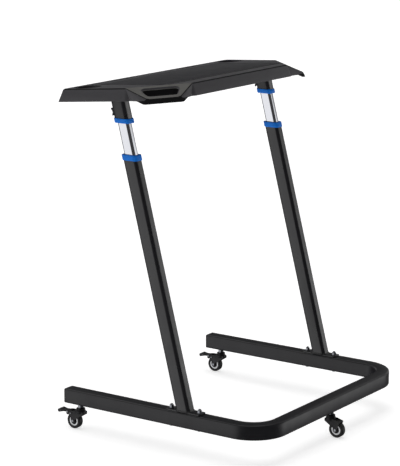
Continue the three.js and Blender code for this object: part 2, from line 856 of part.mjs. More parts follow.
function beamNotch() {
  return solid(block(
    2 * (beamHalf + legWidth + beamNotchGap), beamDepth + 2 * beamNotchGap,
    -trayStack - beamHeight - beamNotchGap, -trayStack + beamNotchGap, 0, beamY,
  ));
}

function crossMember() {
  const lay = new THREE.Matrix4().makeBasis(
    new THREE.Vector3(0, 1, 0), new THREE.Vector3(0, 0, 1), new THREE.Vector3(1, 0, 0),
  );
  lay.setPosition(0, beamY, -trayStack - beamHeight / 2);
  const outline = tubeOutline(beamDepth, beamHeight, beamCorner, beamWall);
  return solid(prism(outline, -beamHalf, beamHalf, plainSteps).applyMatrix4(lay));
}

function bracketScrew() {
  const headTop = -bracketLevel - bracketThickness - seatGap;
  const head = solid(upright(screwHeadRadius, headTop - screwHeadHeight, headTop));
  return head.add(solid(upright(screwRadius, headTop - screwHeadHeight / 2, -bracketLevel + screwBite)));
}

// The sleeve runs from its collar up to the top plate it is welded to, cut to the tray's slope
function upperSleeve(side) {
  const tube = legTube(legWidth, legDepth, legCorner, legWall, sleeveBottom, trayHeight - railTop);
  const boss = solid(
    upright(wingBossRadius, legDepth / 2 - legWall / 2, legDepth / 2 + wingBossHeight)
      .applyMatrix4(squareTo(wingScrewHeight - railTop)),
  );
  const toLeg = new THREE.Matrix4().makeTranslation(-side * legSpread, -legFootSetback, -railTop)
    .multiply(trayFrame());
  const plateBottom = -bracketLevel - bracketThickness;
  const above = block(2 * baseWidth, 2 * baseLength, plateBottom + bracketThickness / 2, legDepth);
  const outline = roundedRectangle(bracketWidth, bracketDepth, bracketCorner);
  const plate = prism(outline, plateBottom, -bracketLevel, plainSteps)
    .translate(side * legSpread, bracketY, 0);
  const holes = Object.values(footEnds).map((end) => solid(
    upright(screwRadius + seatGap, plateBottom - cutOver, -trayWall)
      .translate(side * legSpread, bracketY + end * screwReach, 0)
      .applyMatrix4(toLeg),
  ));
  return tube.add(boss)
    .subtract(crossHole(wingScrewRadius + seatGap, wingScrewHeight - railTop))
    .subtract(solid(above.applyMatrix4(toLeg)))
    .add(solid(plate.applyMatrix4(toLeg)))
    .subtract(joined(holes));
}

// Castors, each in a frame on the floor under its stem, trailing towards +Y

const hexBottom = swivelTop + raceHeight + 2 * seatGap;
const innerCheek = cheekGap / 2;

function castorStem() {
  const headTop = swivelBottom - seatGap;
  const head = solid(upright(stemHeadRadius, headTop - stemHeadHeight, headTop));
  const shank = solid(upright(stemRadius, headTop - stemHeadHeight / 2, railUnderside + stemTop));
  const hex = solid(hexagon(stemHexRadius, hexBottom, railUnderside - seatGap));
  return joined([head, shank, hex]);
}

function castorRace() {
  const bottom = swivelTop + seatGap;
  const ring = new THREE.Shape().absarc(0, 0, raceRadius, 0, 2 * Math.PI, false);
  const bore = solid(upright(stemRadius + seatGap, bottom - cutOver, bottom + raceHeight + cutOver));
  return solid(softPrism(ring, bottom, bottom + raceHeight, raceHeight / 4, smallSteps / 2)).subtract(bore);
}

function cheekOutline(brake) {
  const outline = new THREE.Shape();
  outline.moveTo(-cheekNose, swivelTop - hoodThickness);
  outline.lineTo(-cheekNose, swivelBottom - hoodThickness);
  outline.lineTo(castorTrail - axleBoss, wheelRadius);
  outline.absarc(castorTrail, wheelRadius, axleBoss, Math.PI, 2 * Math.PI, false);
  if (brake) {
    outline.lineTo(brakePivotReach + brakeEye, brakePivotHeight - brakeEye / 2);
    outline.absarc(brakePivotReach, brakePivotHeight, brakeEye, 0, Math.PI / 2, false);
  } else {
    const hoodRadius = wheelRadius + hoodGap + hoodThickness;
    outline.absarc(castorTrail, wheelRadius, hoodRadius, Math.PI / 7, Math.PI / 2.4, false);
  }
  outline.lineTo(swivelRadius, swivelTop - hoodThickness);
  return outline;
}

function castorFork(brake) {
  const side = innerCheek + cheekThickness / 2;
  const cheeks = [-1, 1].map((end) => solid(
    sideways(cheekOutline(brake), cheekThickness, hoodSteps - 1).translate(end * side, 0, 0),
  ));
  const hoodStart = brake ? Math.PI / 3 : Math.PI / 7;
  const hoodOuter = wheelRadius + hoodGap + hoodThickness;
  const hood = new THREE.Shape();
  hood.absarc(castorTrail, wheelRadius, hoodOuter, hoodStart, Math.PI * 0.75, false);
  hood.absarc(castorTrail, wheelRadius, hoodOuter - hoodThickness, Math.PI * 0.75, hoodStart, true);
  const boss = solid(upright(swivelRadius, swivelBottom, swivelTop, roundSteps));
  const bore = solid(upright(stemRadius + seatGap, 0, swivelTop + cutOver));
  const turningRoom = (stemHeadRadius + seatGap) / Math.cos(Math.PI / smallSteps);
  const headRoom = solid(upright(turningRoom, 0, swivelBottom));
  const crossHoles = [solid(crossways(
    axleRadius + seatGap, 2 * cheekGap, castorTrail, wheelRadius,
  ))];
  if (brake) {
    crossHoles.push(solid(crossways(
      brakePinRadius + seatGap, 2 * cheekGap, brakePivotReach, brakePivotHeight,
    )));
  }
  const wheelRoom = solid(crossways(
    wheelRadius + hoodGap, cheekGap, castorTrail, wheelRadius, roundSteps,
  ));
  const web = solid(sideways(hood, cheekGap + cheekThickness, hoodSteps));
  return joined([boss.subtract(wheelRoom), web, ...cheeks]).subtract(joined([bore, headRoom, ...crossHoles]));
}

// A wheel ring: profile points are radius and place across the wheel
function turned(profile) {
  const points = [...profile, profile[0]].map(([r, x]) => new THREE.Vector2(r, x));
  const geometry = new THREE.LatheGeometry(points, roundSteps);
  return geometry.rotateZ(-Math.PI / 2).translate(0, castorTrail, wheelRadius);
}

function castorTyre() {
  const half = wheelWidth / 2;
  const inner = wheelRadius - tyreThickness;
  return solid(turned([
    [inner, -half],
    [wheelRadius - tyreRound, -half],
    [wheelRadius - tyreRound / 3, -half + tyreRound / 3],
    [wheelRadius, -half + tyreRound],
    [wheelRadius, half - tyreRound],
    [wheelRadius - tyreRound / 3, half - tyreRound / 3],
    [wheelRadius - tyreRound, half],
    [inner, half],
  ]));
}

function castorRim() {
  const outer = wheelRadius - tyreThickness - seatGap;
  const half = rimWidth / 2;
  const web = webThickness / 2;
  const core = wheelCoreWidth / 2;
  const side = [
    [outer - rimWall - rimRing, web],
    [outer - rimWall, half - rimWall],
    [outer, half],
  ];
  return solid(turned([
    [axleRadius + seatGap, -core],
    [wheelCoreRadius, -core],
    [wheelCoreRadius, -web],
    ...side.map(([r, x]) => [r, -x]),
    ...side.slice().reverse(),
    [wheelCoreRadius, web],
    [wheelCoreRadius, core],
    [axleRadius + seatGap, core],
  ]));
}

function castorAxle() {
  const half = innerCheek + cheekThickness + seatGap;
  const pin = solid(crossways(axleRadius, 2 * half + axleHeadHeight, castorTrail, wheelRadius));
  const heads = [-1, 1].map((end) => solid(crossways(
    axleHeadRadius, axleHeadHeight, castorTrail, wheelRadius,
  ).translate(end * (half + axleHeadHeight / 2), 0, 0)));
  return joined([pin, ...heads]);
}

function brakePin() {
  const half = innerCheek + cheekThickness + seatGap;
  const pin = solid(crossways(brakePinRadius, 2 * half + axleHeadHeight, brakePivotReach, brakePivotHeight));
  const heads = [-1, 1].map((end) => solid(crossways(
    brakePinHead, axleHeadHeight, brakePivotReach, brakePivotHeight,
  ).translate(end * (half + axleHeadHeight / 2), 0, 0)));
  return joined([pin, ...heads]);
}

function brakePedal() {
  const [py, pz] = [brakePivotReach, brakePivotHeight];
  const eye = solid(crossways(brakeEye, pedalWidth, py, pz));
  const cam = solid(crossways(brakeCamRadius, pedalWidth, py + brakeCamReach, pz - brakeCamDrop));
  const tipY = pedalReach - pedalTipRadius;
  const tipZ = pz + pedalRise;
  const arm = new THREE.Shape();
  arm.moveTo(py, pz - pedalThickness / 2);
  arm.lineTo(tipY, tipZ - pedalThickness / 2);
  arm.lineTo(tipY, tipZ + pedalThickness / 2);
  arm.lineTo(py, pz + brakeEye);
  const lever = solid(sideways(arm, pedalWidth));
  const tip = new THREE.Shape();
  const tipStart = tipY - pedalTipLength;
  tip.moveTo(tipStart, tipZ - pedalRise / 2);
  tip.lineTo(tipY, tipZ - pedalTipRadius);
  tip.absarc(tipY, tipZ, pedalTipRadius, -Math.PI / 2, Math.PI / 2, false);
  tip.lineTo(tipStart, tipZ + pedalThickness / 4);
  const pad = solid(sideways(tip, pedalTipWidth));
  const bore = solid(crossways(brakePinRadius + seatGap, 2 * cheekGap, py, pz));
  return joined([eye, cam, lever, pad]).subtract(bore);
}

// Assembly

function legGroup(side, name) {
  const group = new THREE.Group();
  group.position.set(side * legSpread, legFootSetback, railTop);
  group.add(
    piece(`lower_leg_${name}`, lowerLeg(), powderCoat),
    piece(`lower_collar_${name}`, lowerCollar(), blueNylon),
    piece(`inner_tube_${name}`, innerTube(), brightChrome),
    piece(`guide_shoe_${name}`, guideShoe(), blackNylon),
    piece(`upper_collar_${name}`, upperCollar(), blueNylon),
    piece(`upper_sleeve_${name}`, upperSleeve(side), powderCoat),
  );
  for (const [endName, end] of Object.entries(footEnds)) {
    const bolt = piece(`foot_bolt_${name}_${endName}`, footBolt(), zincPlate);
    const nut = piece(`foot_nut_${name}_${endName}`, footNut(), zincPlate);
    bolt.position.y = end * boltReach;
    nut.position.y = end * boltReach;
    group.add(bolt, nut);
  }
  const screws = [
    [piece(`lock_screw_${name}`, lockScrew(), blackNylon), lockScrewHeight],
    [piece(`wing_screw_${name}`, wingScrew(), blackNylon), wingScrewHeight],
  ];
  for (const [screw, height] of screws) {
    screw.rotation.x = -(Math.PI / 2 + lean);
    screw.position.set(0, (height - railTop) * Math.tan(lean), height - railTop);
    group.add(screw);
  }
  return group;
}

function castorGroup(name, { x, y, turn, brake }) {
  const group = new THREE.Group();
  group.position.set(x, y, 0);
  group.rotation.z = turn;
  group.add(
    piece(`castor_stem_${name}`, castorStem(), zincPlate),
    piece(`castor_race_${name}`, castorRace(), zincPlate),
    piece(`castor_fork_${name}`, castorFork(brake), blackNylon),
    piece(`castor_tyre_${name}`, castorTyre(), tyreRubber),
    piece(`castor_rim_${name}`, castorRim(), rimPlastic),
    piece(`castor_axle_${name}`, castorAxle(), zincPlate),
  );
  if (brake) {
    group.add(
      piece(`brake_pedal_${name}`, brakePedal(), blackNylon),
      piece(`brake_pin_${name}`, brakePin(), zincPlate),
    );
  }
  return group;
}

const desk = new THREE.Group();
desk.add(piece('base_frame', baseFrame(), powderCoat));

const cap = endCap();
for (const [side, name] of [[-1, 'right'], [1, 'left']]) {
  const endPiece = piece(`end_cap_${name}`, cap, blackNylon);
  endPiece.position.set(side * legSpread, railEnd + seatGap, railUnderside + tubeHeight / 2);
  desk.add(endPiece);
  desk.add(legGroup(side, name));
}

for (const [name, place] of Object.entries(castorPlaces)) {
  desk.add(castorGroup(name, place));
}

const trayGroup = new THREE.Group();
trayGroup.position.copy(trayPlace);
trayGroup.rotation.x = -trayTilt;
trayGroup.add(piece('tray', tray(), trayPlastic));
trayGroup.add(piece('tray_mat', mat(), matRubber));
trayGroup.add(piece('cross_member', crossMember(), powderCoat));
for (const [side, name] of [[-1, 'right'], [1, 'left']]) {
  for (const [endName, end] of Object.entries(footEnds)) {
    const screw = piece(`tray_screw_${name}_${endName}`, bracketScrew(), zincPlate);
    screw.position.set(side * legSpread, bracketY + end * screwReach, 0);
    trayGroup.add(screw);
  }
}
desk.add(trayGroup);

// The origin is on the floor, under the middle of the whole desk
desk.updateMatrixWorld(true);
const bounds = new THREE.Box3().setFromObject(desk, true);
desk.position.y = -(bounds.min.y + bounds.max.y) / 2;

export default desk;
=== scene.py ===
# Height-adjustable desk on a base with castors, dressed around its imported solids.
# Sizes in the dictionaries are millimetres and degrees; Blender's own lengths are metres.

import math

import bpy
from mathutils import Matrix, Vector


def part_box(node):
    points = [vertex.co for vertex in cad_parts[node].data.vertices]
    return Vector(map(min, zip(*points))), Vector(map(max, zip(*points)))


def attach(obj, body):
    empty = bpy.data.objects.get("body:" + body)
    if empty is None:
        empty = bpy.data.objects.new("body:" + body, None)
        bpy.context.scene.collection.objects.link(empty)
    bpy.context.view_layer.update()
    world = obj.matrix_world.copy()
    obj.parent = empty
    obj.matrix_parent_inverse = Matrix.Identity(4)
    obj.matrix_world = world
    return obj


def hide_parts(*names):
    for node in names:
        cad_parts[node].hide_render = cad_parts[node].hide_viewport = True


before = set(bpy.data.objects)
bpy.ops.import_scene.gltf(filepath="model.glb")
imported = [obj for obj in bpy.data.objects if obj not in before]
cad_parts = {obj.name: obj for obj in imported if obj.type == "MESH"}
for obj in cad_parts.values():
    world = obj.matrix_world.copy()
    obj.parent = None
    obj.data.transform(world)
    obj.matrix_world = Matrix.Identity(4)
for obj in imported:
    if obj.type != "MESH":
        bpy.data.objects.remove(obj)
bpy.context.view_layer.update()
mm = 0.001
sides = {"right": -1, "left": 1}
ends = {"front": -1, "rear": 1}
print("packed frame loaded:", len(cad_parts), "nodes")

# Where the legs stand on the base

stance = dict(lean=14.5, spread=386.5, setback=294)  # the legs lean towards the rider
lean = math.radians(stance["lean"])
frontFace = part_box("base_frame")[0].y
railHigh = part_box("base_frame")[1].z
legSpread = stance["spread"] * mm
legFoot = frontFace + stance["setback"] * mm


# Working helpers

# how near two points become one, in a shape made here and in a packed one; the angle between
# faces that are one flat face; how near a face lies to a plane; how square it is to an axis
tolerance = dict(made=0.005, packed=0.01, flat=0.5, plane=0.1, square=0.9)
# least angle between two faces for the edge between them to be broken, or to stay crisp
edgeAngle = dict(fine=30, usual=38, bent=40, drilled=50, square=60)
edgeSteps = dict(plain=2, rounded=3, domed=4)


def work(piece):
    if bpy.context.mode != "OBJECT":
        bpy.ops.object.mode_set(mode="OBJECT")
    bpy.ops.object.select_all(action="DESELECT")
    piece.select_set(True)
    bpy.context.view_layer.objects.active = piece
    return piece


def editAll(piece, kind="FACE"):
    work(piece)
    bpy.ops.object.mode_set(mode="EDIT")
    bpy.ops.mesh.select_mode(type=kind)
    bpy.ops.mesh.select_all(action="SELECT")


def pick(piece, test, kind="FACE"):
    editAll(piece, kind)
    bpy.ops.mesh.select_all(action="DESELECT")
    bpy.ops.object.mode_set(mode="OBJECT")
    parts = {"FACE": piece.data.polygons, "VERT": piece.data.vertices, "EDGE": piece.data.edges}[kind]
    for part in parts:
        part.select = bool(test(part))
    bpy.ops.object.mode_set(mode="EDIT")


def leaveEdit():
    bpy.ops.object.mode_set(mode="OBJECT")


def settle(piece, name):
    work(piece)
    bpy.ops.object.transform_apply(location=True, rotation=True, scale=True)
    piece.name = name
    return piece


def addModifier(piece, kind, **values):
    work(piece)
    modifier = piece.modifiers.new(kind.title(), kind)
    for key, value in values.items():
        setattr(modifier, key, value)
    bpy.ops.object.modifier_apply(modifier=modifier.name)


def mendNormals(piece):
    editAll(piece)
    bpy.ops.mesh.remove_doubles(threshold=tolerance["made"] * mm)
    bpy.ops.mesh.select_all(action="SELECT")
    bpy.ops.mesh.normals_make_consistent(inside=False)
    leaveEdit()


def softEdges(piece, width, shape="plain", sharp="usual"):
    addModifier(piece, "BEVEL", width=width * mm, segments=edgeSteps[shape], limit_method="ANGLE",
                angle_limit=math.radians(edgeAngle[sharp]), use_clamp_overlap=True)


def smooth(piece, sharp="usual"):
    work(piece)
    bpy.ops.object.shade_smooth_by_angle(angle=math.radians(edgeAngle[sharp]))
    return piece


def startPlane(name, wide, tall, place=(0, 0, 0), turn=(0, 0, 0)):
    if bpy.context.mode != "OBJECT":
        leaveEdit()
    bpy.ops.object.select_all(action="DESELECT")
    bpy.ops.mesh.primitive_plane_add(size=1, location=place, rotation=turn)
    piece = bpy.context.object
    piece.scale = (wide, tall, 1)
    return settle(piece, name)


def roundCorners(piece, radius, steps):
    bpy.ops.mesh.bevel(offset=radius * mm, segments=steps, affect="VERTICES")
    leaveEdit()


def roundSection(piece, radius, steps):
    editAll(piece, "VERT")
    roundCorners(piece, radius, steps)


def drawOut(piece, run):
    # gives a flat section its length
    editAll(piece)
    bpy.ops.mesh.extrude_region_move(TRANSFORM_OT_translate={"value": run})
    leaveEdit()
    mendNormals(piece)


def roundedBlock(name, wide, deep, corner, steps, low, tall):
    # an upright block with rounded corners
    piece = startPlane(name, wide * mm, deep * mm, (0, 0, low * mm))
    roundSection(piece, corner, steps)
    drawOut(piece, (0, 0, tall * mm))
    return piece


def hollowOut(piece, isEnd, wall):
    # opens a drawn block's ends and gives it a wall
    pick(piece, isEnd)
    bpy.ops.mesh.delete(type="FACE")
    leaveEdit()
    addModifier(piece, "SOLIDIFY", thickness=wall * mm, offset=-1, use_even_offset=True)


def startOutline(name, points, width, middle=0.0):
    # a flat outline of (y, z) points, stood up and given a width along X
    bpy.ops.object.select_all(action="DESELECT")
    bpy.ops.mesh.primitive_circle_add(vertices=len(points), radius=1, fill_type="NGON")
    piece = bpy.context.object
    for vertex, (y, z) in zip(piece.data.vertices, points):
        vertex.co = (middle - width / 2, y, z)
    piece.name = name
    drawOut(piece, (width, 0, 0))
    return piece


def arcPoints(centre, radius, start, end, steps):
    turns = [math.radians(start + (end - start) * i / steps) for i in range(steps + 1)]
    return [(centre[0] + radius * math.cos(a), centre[1] + radius * math.sin(a)) for a in turns]


def cylinder(name, radius, length, place=(0, 0, 0), along="Z", sidesRound=48):
    bpy.ops.object.select_all(action="DESELECT")
    turn = {"Z": (0, 0, 0), "X": (0, math.pi / 2, 0)}[along]
    bpy.ops.mesh.primitive_cylinder_add(vertices=sidesRound, radius=radius, depth=length,
                                        location=place, rotation=turn)
    return settle(bpy.context.object, name)


def standingDisc(name, radius, low, high, sidesRound):
    # an upright round piece between two levels
    return cylinder(name, radius * mm, (high - low) * mm, (0, 0, (high + low) / 2 * mm),
                    sidesRound=sidesRound)


def join(name, parts):
    work(parts[0])
    for part in parts:
        part.select_set(True)
    bpy.ops.object.join()
    parts[0].name = name
    return parts[0]


def cut(piece, tool):
    addModifier(piece, "BOOLEAN", object=tool, operation="DIFFERENCE", solver="EXACT")
    bpy.data.objects.remove(tool)
    return piece


def copyOf(piece, name, place=None):
    twin = bpy.data.objects.new(name, piece.data.copy())
    bpy.context.scene.collection.objects.link(twin)
    if place is not None:
        twin.data.transform(place)
    return twin


def copyNode(node):
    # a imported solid's shape as an editable piece: doubles merged, flat faces made whole
    piece = copyOf(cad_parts[node], node + "_finished")
    piece.data.materials.clear()
    editAll(piece)
    bpy.ops.mesh.remove_doubles(threshold=tolerance["packed"] * mm)
    bpy.ops.mesh.select_all(action="SELECT")
    bpy.ops.mesh.dissolve_limited(angle_limit=math.radians(tolerance["flat"]))
    leaveEdit()
    return piece


# Finishes

def fromHex(code):
    parts = [int(code[i:i + 2], 16) / 255 for i in (1, 3, 5)]
    return [p / 12.92 if p <= 0.04045 else ((p + 0.055) / 1.055) ** 2.4 for p in parts] + [1.0]


def addNode(material, kind, values=None, links=None):
    node = material.node_tree.nodes.new(kind)
    for key, value in (values or {}).items():
        if isinstance(key, int) or key in node.inputs:
            node.inputs[key].default_value = value
        else:
            setattr(node, key, value)
    for key, source in (links or {}).items():
        material.node_tree.links.new(source, node.inputs[key])
    return node


# each: two close colours and two roughnesses that drift into each other over patches, and a
# grain with its width and depth; the real grains are mostly finer, and are drawn coarse to show
finishes = {
    # steel under polyester powder coat: satin, faint orange peel
    "powderCoat": dict(colour="#151518", second="#1C1B1F", rough=(0.26, 0.34), metallic=0.0, ior=1.5,
                       grain=1.1, patch=60, depth=0.03),
    # the same coat on the base, matched a little duller, so it mirrors less
    "railCoat": dict(colour="#151518", second="#1C1B1F", rough=(0.3, 0.38), metallic=0.0, ior=1.4,
                     grain=1.1, patch=60, depth=0.03),
    # decorative chrome plate on a drawn tube: mirror bright with faint draw marks
    "chromePlate": dict(colour="#CBCCD1", second="#C1C2C7", rough=(0.05, 0.12), metallic=1.0, ior=1.5,
                        grain=0.7, patch=30, depth=0.004, stretch=(1, 1, 0.03)),
    # moulded polyamide, blue: low sheen
    "blueNylon": dict(colour="#1877DC", second="#136BCA", rough=(0.4, 0.5), metallic=0.0, ior=1.25,
                      grain=0.6, patch=14, depth=0.02),
    # spark-eroded ABS moulding: fine matt grain that greys the highlights
    "grainedAbs": dict(colour="#3F3E41", second="#464548", rough=(0.46, 0.58), metallic=0.0, ior=1.4,
                       grain=0.8, patch=90, depth=0.05),
    # the same ABS, darkened as painted shade: line round the top, walls of the hand holes,
    # lips; the same ABS, matched darker: line round the top, walls of the hand holes, lips
    "paintedShadeAbs": dict(colour="#111112", second="#161617", rough=(0.6, 0.75), metallic=0.0, ior=1.2,
                      grain=0.8, patch=40, depth=0.02),
    # the same ABS, lightened as painted light: ramps round the hand holes; the same
    # ABS, matched lighter: ramps round the hand holes
    "paintedLightAbs": dict(colour="#5A5956", second="#62615D", rough=(0.5, 0.62), metallic=0.0, ior=1.4,
                    grain=0.9, patch=50, depth=0.06),
    # moulded thermoplastic rubber sheet: dull, with a pebbled face
    "sheetRubber": dict(colour="#2A2A2D", second="#303033", rough=(0.72, 0.85), metallic=0.0, ior=1.38,
                        grain=1.4, patch=40, depth=0.12),
    # moulded black polyamide of the castors and screws
    "blackNylon": dict(colour="#161618", second="#1E1E20", rough=(0.36, 0.48), metallic=0.0, ior=1.37,
                       grain=0.5, patch=12, depth=0.02),
    # soft polyurethane tread: dull black, slightly uneven
    "softTread": dict(colour="#101011", second="#18181A", rough=(0.45, 0.6), metallic=0.0, ior=1.4,
                      grain=0.6, patch=7, depth=0.03),
    # light grey polypropylene wheel centre: waxy
    "greyCentre": dict(colour="#EDEEF0", second="#E2E4E7", rough=(0.36, 0.48), metallic=0.0, ior=1.49,
                       grain=0.6, patch=9, depth=0.015),
    # bright zinc plate on steel: soft, slightly blotched lustre
    "zincPlate": dict(colour="#94969B", second="#77797E", rough=(0.22, 0.38), metallic=1.0, ior=1.5,
                      grain=0.5, patch=4, depth=0.012),
}
slotFinish = {
    "frame_black": "powderCoat", "tube_chrome": "chromePlate", "collar_blue": "blueNylon",
    "tray_plastic": "grainedAbs", "mat_rubber": "sheetRubber", "nylon_black": "blackNylon",
    "tyre_black": "softTread", "rim_grey": "greyCentre", "zinc": "zincPlate",
}
# detail of the two noises, share of the bump, and the noise's span that the roughness follows
texture = dict(grainDetail=3.0, patchDetail=4.0, bump=0.6, patchSpan=(0.3, 0.7))
metre = 1000  # in millimetres: a noise's scale is its number of waves in a metre


def makeFinish(name, look):
    material = bpy.data.materials.new(name)
    material.use_nodes = True
    shader = material.node_tree.nodes["Principled BSDF"]
    shader.inputs["Metallic"].default_value = look["metallic"]
    shader.inputs["IOR"].default_value = look["ior"]
    coordinates = addNode(material, "ShaderNodeTexCoord").outputs["Object"]
    mapped = addNode(material, "ShaderNodeMapping", {"Scale": look.get("stretch", (1, 1, 1))},
                     {"Vector": coordinates}).outputs[0]
    fine = addNode(material, "ShaderNodeTexNoise",
                   {"Scale": metre / look["grain"], "Detail": texture["grainDetail"]},
                   {"Vector": mapped}).outputs[0]
    broad = addNode(material, "ShaderNodeTexNoise",
                    {"Scale": metre / look["patch"], "Detail": texture["patchDetail"]},
                    {"Vector": mapped}).outputs[0]
    bump = addNode(material, "ShaderNodeBump",
                   {"Strength": texture["bump"], "Distance": look["depth"] * mm},
                   {"Height": fine}).outputs[0]
    spanLow, spanHigh = texture["patchSpan"]
    smoothest, roughest = look["rough"]
    rough = addNode(material, "ShaderNodeMapRange",
                    {"From Min": spanLow, "From Max": spanHigh, "To Min": smoothest, "To Max": roughest},
                    {"Value": broad}).outputs[0]
    tone = addNode(material, "ShaderNodeMix",
                   {"data_type": "RGBA", 6: fromHex(look["colour"]), 7: fromHex(look["second"])},
                   {0: broad}).outputs[2]
    for socket, source in (("Normal", bump), ("Roughness", rough), ("Base Color", tone)):
        material.node_tree.links.new(source, shader.inputs[socket])
    return material


materials = {name: makeFinish(name, look) for name, look in finishes.items()}


def keep(piece, body, slot, node, finish=None):
    # its finish, the solid it stands for, and the body it rides on
    piece.data.materials.clear()
    piece.data.materials.append(materials[finish or slotFinish[slot]])
    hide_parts(node)
    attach(piece, body)
    return piece


def addFinish(piece, finish, faces):
    # one more finish, on some of a kept piece's faces
    piece.data.materials.append(materials[finish])
    for index in faces:
        piece.data.polygons[index].material_index = len(piece.data.materials) - 1


print("finishes made:", len(materials))


# The base: one tube, bent twice

rail = dict(wide=43, tall=46, corner=5, cornerSteps=5, wall=1.8, bend=115, bendSteps=24)


def modelRail():
    low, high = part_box("base_frame")
    wide, tall, bend = rail["wide"] * mm, rail["tall"] * mm, rail["bend"] * mm
    bendX, bendY = high.x - bend, low.y + bend
    straight = high.y - bendY
    start = (wide / 2 - high.x, high.y, (low.z + high.z) / 2)
    piece = startPlane("rail_tube", wide, tall, start, (math.pi / 2, 0, 0))
    roundSection(piece, rail["corner"], rail["cornerSteps"])
    editAll(piece)
    bpy.ops.mesh.extrude_region_move(TRANSFORM_OT_translate={"value": (0, -straight, 0)})
    for turnX, run in ((-bendX, (2 * bendX, 0, 0)), (bendX, (0, straight, 0))):
        bpy.ops.mesh.spin(steps=rail["bendSteps"], angle=-math.pi / 2, center=(turnX, bendY, 0),
                          axis=(0, 0, 1))
        bpy.ops.mesh.extrude_region_move(TRANSFORM_OT_translate={"value": run})
    leaveEdit()
    mendNormals(piece)

    def isOpenEnd(face):
        facesRider = abs(face.normal.y) > tolerance["square"]
        return facesRider and abs(face.center.y - high.y) < tolerance["plane"] * mm

    hollowOut(piece, isOpenEnd, rail["wall"])
    keep(smooth(piece, "fine"), "base", "frame_black", "base_frame", finish="railCoat")
    print("base rail modelled")


modelRail()

# The leaning legs: each piece is modelled upright, then leaned over its foot

leg = dict(wide=36, deep=48, corner=10, steps=8, wall=1.6, low=2.3, top=756)
bright = dict(wide=26, deep=38, corner=8, steps=8, wall=1.5, low=462, top=924)
collars = dict(levels=dict(lower=(743, 760), upper=(853, 867)), proud=2.6, steps=9, edge=1.5,
               boreGap=0.35, boreOver=5)


def leanOver(piece, sign, name):
    # stands an upright piece over one leg's foot and leans it; level cuts stay level
    place = Matrix((
        (1, 0, 0, sign * legSpread),
        (0, 1 / math.cos(lean), math.tan(lean), legFoot),
        (0, 0, 1, railHigh),
        (0, 0, 0, 1),
    ))
    return copyOf(piece, name, place)


def modelTube(name, size):
    tube = roundedBlock(name, size["wide"], size["deep"], size["corner"], size["steps"],
                        size["low"], size["top"] - size["low"])
    hollowOut(tube, lambda face: abs(face.normal.z) > tolerance["square"], size["wall"])
    return tube


def modelCollar(name, low, high):
    # a moulded band with a lip over the tube's end and a rounded outside
    proud, gap, over = collars["proud"], collars["boreGap"], collars["boreOver"]
    band = roundedBlock(name, leg["wide"] + 2 * proud, leg["deep"] + 2 * proud,
                        leg["corner"] + proud, collars["steps"], low, high - low)
    softEdges(band, collars["edge"], "domed", "square")
    bore = roundedBlock("bore", bright["wide"] + 2 * gap, bright["deep"] + 2 * gap,
                        bright["corner"] + gap, bright["steps"], low - over, high - low + 2 * over)
    return cut(band, bore)


footPlate = dict(wide=36, long=124, thick=4, low=0.3, corner=6, steps=6, edge=0.7)
weld = dict(radius=2.6, resolution=3, steps=5, ripple=0.125)


def modelWeld(sign):
    # the run of weld round the leaning tube, on top of its foot plate
    lift = (footPlate["low"] + footPlate["thick"]) * mm
    corner = leg["corner"] * mm
    halfX, halfY = leg["wide"] / 2 * mm, leg["deep"] / 2 / math.cos(lean) * mm
    path = []
    for quarter, (x, y) in enumerate(((1, 1), (-1, 1), (-1, -1), (1, -1))):
        centre = (x * (halfX - corner), y * (halfY - corner))
        path += arcPoints(centre, corner, quarter * 90, quarter * 90 + 90, weld["steps"])
    curve = bpy.data.curves.new("weld", "CURVE")
    curve.dimensions = "3D"
    curve.bevel_depth = weld["radius"] * mm
    curve.bevel_resolution = weld["resolution"]
    spline = curve.splines.new("POLY")
    spline.points.add(len(path) - 1)
    middleX, middleY = sign * legSpread, legFoot + lift * math.tan(lean)
    for i, (point, (x, y)) in enumerate(zip(spline.points, path)):
        ripple = weld["ripple"] * mm * (-1) ** i
        point.co = (middleX + x, middleY + y, railHigh + lift + ripple, 1)
    spline.use_cyclic_u = True
    run = bpy.data.objects.new("weld", curve)
    bpy.context.scene.collection.objects.link(run)
    work(run)
    bpy.ops.object.convert(target="MESH")
    return bpy.context.object


def modelFoot(sign):
    plate = roundedBlock("plate", footPlate["wide"], footPlate["long"], footPlate["corner"],
                         footPlate["steps"], footPlate["low"], footPlate["thick"])
    softEdges(plate, footPlate["edge"], "rounded", "square")
    plate.data.transform(Matrix.Translation((sign * legSpread, legFoot, railHigh)))
    return join("foot", [plate, modelWeld(sign)])


def modelLegs():
    tube, chrome = modelTube("leg_tube", leg), modelTube("bright_tube", bright)
    bands = {place: modelCollar(place + "_band", *levels) for place, levels in collars["levels"].items()}
    for side, sign in sides.items():
        shin = leanOver(tube, sign, f"leg_tube_{side}")
        shin = join(f"lower_leg_{side}_finished", [shin, modelFoot(sign)])
        keep(smooth(shin), "base", "frame_black", f"lower_leg_{side}")
        inner = leanOver(chrome, sign, f"bright_tube_{side}")
        keep(smooth(inner), "top", "tube_chrome", f"inner_tube_{side}")
        for place, body in (("lower", "base"), ("upper", "top")):
            band = leanOver(bands[place], sign, f"{place}_band_{side}")
            keep(smooth(band), body, "collar_blue", f"{place}_collar_{side}")
    for pattern in (tube, chrome, *bands.values()):
        bpy.data.objects.remove(pattern)
    print("legs modelled")


modelLegs()

# Small steel and moulded pieces that keep their solid's shape, with broken edges

